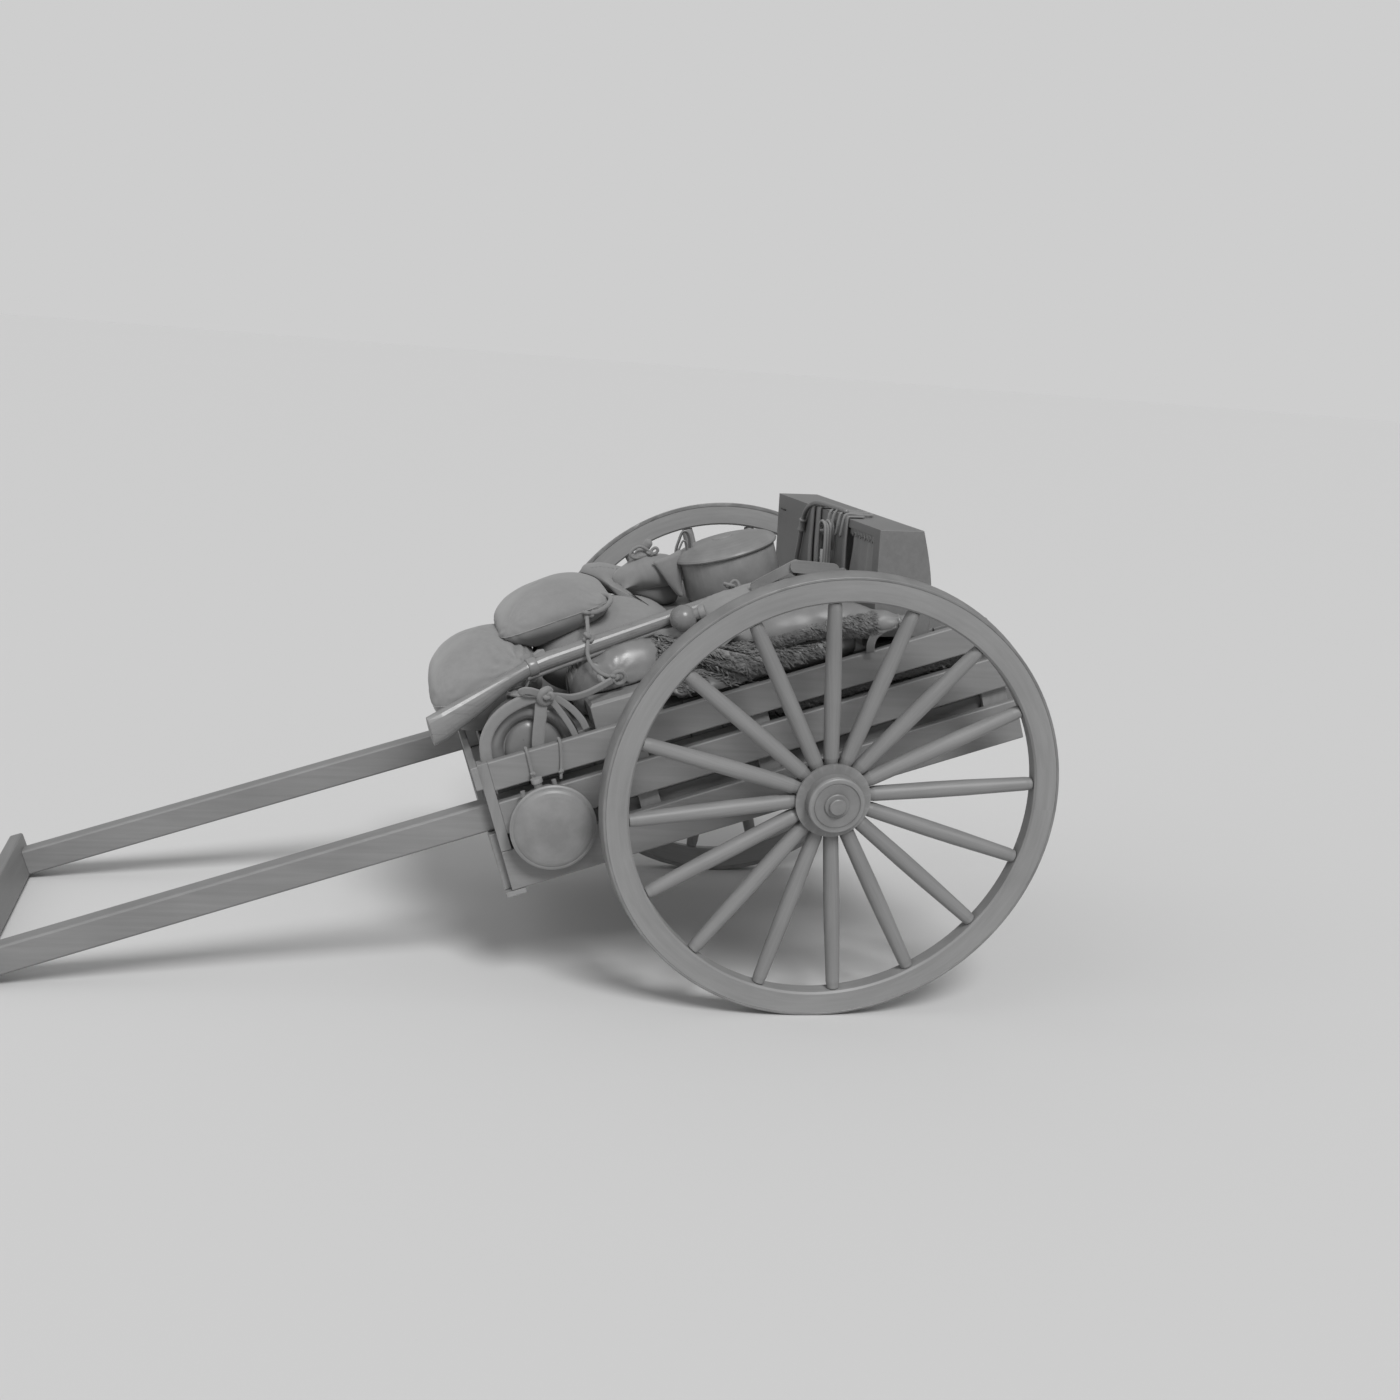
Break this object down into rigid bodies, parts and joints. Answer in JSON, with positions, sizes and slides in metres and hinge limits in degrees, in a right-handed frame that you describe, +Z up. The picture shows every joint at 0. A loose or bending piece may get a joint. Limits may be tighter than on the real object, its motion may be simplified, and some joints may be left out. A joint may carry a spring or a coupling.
{
  "type": "supply cart",
  "caption": "Two-wheeled wooden supply cart with dished, cambered spoked wheels and plain shafts, its slatted bed loaded with sacks, crates, rolls and a lidded pot.",
  "frame": {"origin": "on the ground under the middle of the parked cart, halfway along, across its width", "axes": "+X forward to the shafts and crossbar, +Y to the left side of the cart, +Z up"},
  "size_m": [2.7715, 1.5398, 1.2759],
  "materials": {
    "wood": "weathered bare timber",
    "dark_wood": "weathered bare timber in shade",
    "iron": "worn blackened iron",
    "cloth": "coarse canvas",
    "hide": "worn hide and cord",
    "tin": "dull tinned plate"
  },
  "bodies": {
    "cart": {"axle": "iron", "sills": "dark_wood", "floor": "dark_wood", "shaft_left": "wood", "shaft_right": "wood", "crossbar": "wood", "side_boards_left": "wood", "side_boards_right": "wood", "side_posts_left": "wood", "side_posts_right": "wood", "front_boards": "wood", "corner_posts": "wood", "tailboard": "wood", "crate_front": "dark_wood", "crate_middle": "dark_wood", "crate_rear_box": "dark_wood", "stowed_box": "dark_wood", "small_crate": "wood", "trunk": "wood", "trunk_straps": "hide", "trunk_batten": "dark_wood", "sack_front": "cloth", "sack_top": "cloth", "sack_middle": "cloth", "sack_side": "cloth", "sack_rear": "cloth", "bedroll": "cloth", "bedroll_straps": "hide", "pouch": "cloth", "pouch_roll": "cloth", "pot": "tin", "rope_hank": "hide", "gun_stock": "wood", "gun_barrel": "iron", "canteen": "tin", "canteen_slings": "hide", "hide_lower": "hide", "hide_upper": "hide", "tool_bar": "iron", "sticks": "wood", "gourd": "hide"},
    "wheel_left": {"wheel_left_tyre": "iron", "wheel_left_felloe": "wood", "wheel_left_spokes": "wood", "wheel_left_hub": "iron", "wheel_left_cap": "iron"},
    "wheel_right": {"wheel_right_tyre": "iron", "wheel_right_felloe": "wood", "wheel_right_spokes": "wood", "wheel_right_hub": "iron", "wheel_right_cap": "iron"},
    "pot_lid": {"pot_lid": "tin"}
  },
  "joints": [
    {"name": "wheel_left_spin", "type": "hinge", "parent": "cart", "child": "wheel_left", "pos_m": [-0.78374, 0.68263, 0.59671], "axis": [0, 0.9945, -0.1045], "continuous": true},
    {"name": "wheel_right_spin", "type": "hinge", "parent": "cart", "child": "wheel_right", "pos_m": [-0.78374, -0.68263, 0.59671], "axis": [0, 0.9945, 0.1045], "continuous": true},
    {"name": "pot_lid_lift", "type": "slide", "parent": "cart", "child": "pot_lid", "axis": [0.3178, 0, 0.9482], "range_m": [0, 0.15]}
  ]
}
